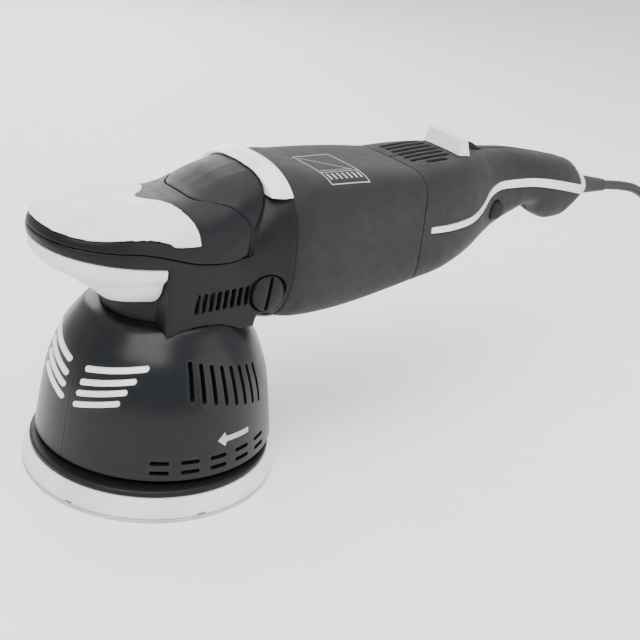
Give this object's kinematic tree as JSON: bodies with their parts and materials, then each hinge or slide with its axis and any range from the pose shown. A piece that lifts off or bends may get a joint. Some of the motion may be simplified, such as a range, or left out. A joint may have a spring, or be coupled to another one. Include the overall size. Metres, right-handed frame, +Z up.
{
  "type": "dual action polisher",
  "caption": "Dual action polisher: palm-rest head over a slotted shroud and round hook-faced plate, long motor body, trigger grip, coiled mains cord.",
  "frame": {"origin": "on the drive spindle's axis, at the underside of the plate's hook layer", "axes": "+Z up along the spindle, +X back along the body towards the cord, +Y towards the right-hand side, away from the lock button"},
  "size_m": [0.7007, 0.1731, 0.185],
  "materials": {
    "white_rubber": "soft matt rubber, off-white",
    "white_plastic": "satin white moulded plastic",
    "black_plastic": "fine satin moulded plastic",
    "gloss_black": "smooth glossy moulded plastic",
    "soft_grey": "dark grey soft-touch overmould",
    "aluminium": "cast and machined",
    "steel": "turned and ground",
    "bronze": "segmented copper alloy",
    "copper": "varnished winding wire",
    "lamination": "stacked laminations",
    "foam": "closed-cell foam, slightly pink white",
    "hook": "hook layer",
    "carbon": "pressed carbon",
    "board": "potted circuit board",
    "cord_rubber": "smooth matt rubber sheath"
  },
  "bodies": {
    "tool": {"palm_pad_top": "white_rubber", "palm_pad_lower": "white_rubber", "upper_cover": "black_plastic", "head_housing": "black_plastic", "socket_plug_left": "black_plastic", "socket_plug_right": "black_plastic", "brush_frame": "black_plastic", "switch_body": "black_plastic", "cord_clamp": "black_plastic", "front_trim_band": "white_plastic", "lower_trim_band": "white_plastic", "rib_insert_left": "white_plastic", "rib_insert_right": "white_plastic", "handle_trim": "white_plastic", "rear_cap": "white_plastic", "shroud_left": "gloss_black", "shroud_right": "gloss_black", "gear_case": "aluminium", "gear_case_cover": "aluminium", "spindle_bearing_lower": "steel", "spindle_bearing_upper": "steel", "motor_bearing_front": "steel", "motor_bearing_rear": "steel", "trigger_pin": "steel", "trigger_spring": "steel", "field_stator": "lamination", "field_coil_upper": "copper", "field_coil_lower": "copper", "brush_left": "carbon", "brush_right": "carbon", "motor_housing": "soft_grey", "handle_shell_left": "soft_grey", "handle_shell_right": "soft_grey", "speed_module": "board", "strain_relief": "cord_rubber", "cord": "cord_rubber", "cord_coil": "cord_rubber", "cord_plug": "cord_rubber"},
    "spindle": {"drive_spindle": "steel", "crown_wheel": "steel", "eccentric_carrier": "aluminium", "counterweight": "steel", "pad_bearing_upper": "steel", "pad_bearing_lower": "steel"},
    "armature": {"drive_pinion": "steel", "armature_shaft": "steel", "armature_core": "lamination", "armature_winding_front": "copper", "armature_winding_rear": "copper", "commutator": "bronze", "motor_fan": "black_plastic"},
    "pad": {"pad_spindle": "steel", "backing_disc": "black_plastic", "backing_foam": "foam", "hook_face": "hook", "plate_screw": "steel"},
    "trigger": {"trigger": "black_plastic"},
    "lock_button": {"lock_button": "black_plastic"},
    "speed_dial": {"speed_dial": "black_plastic"}
  },
  "joints": [
    {"name": "spindle_spin", "type": "hinge", "parent": "tool", "child": "spindle", "pos_m": [0, 0, 0], "axis": [0, 0, 1], "continuous": true},
    {"name": "armature_spin", "type": "hinge", "parent": "tool", "child": "armature", "pos_m": [0, 0, 0.134], "axis": [1, 0, 0], "continuous": true},
    {"name": "pad_spin", "type": "hinge", "parent": "spindle", "child": "pad", "pos_m": [-0.00549, -0.00511, 0], "axis": [0, 0, 1], "continuous": true},
    {"name": "trigger_pull", "type": "hinge", "parent": "tool", "child": "trigger", "pos_m": [0.238, 0, 0.1205], "axis": [0, -1, 0], "range_deg": [0, 6], "stiffness_Nm_per_rad": 0.6, "deforming": ["trigger_spring"]},
    {"name": "lock_button_press", "type": "slide", "parent": "tool", "child": "lock_button", "axis": [0, 1, 0], "range_m": [0, 0.0025], "stiffness_N_per_m": 400},
    {"name": "speed_dial_turn", "type": "hinge", "parent": "tool", "child": "speed_dial", "pos_m": [0.228, 0, 0.163], "axis": [0, 1, 0], "range_deg": [0, 270]}
  ],
  "couplings": [
    {"joint": "armature_spin", "follows": "spindle_spin", "ratio": 3}
  ]
}
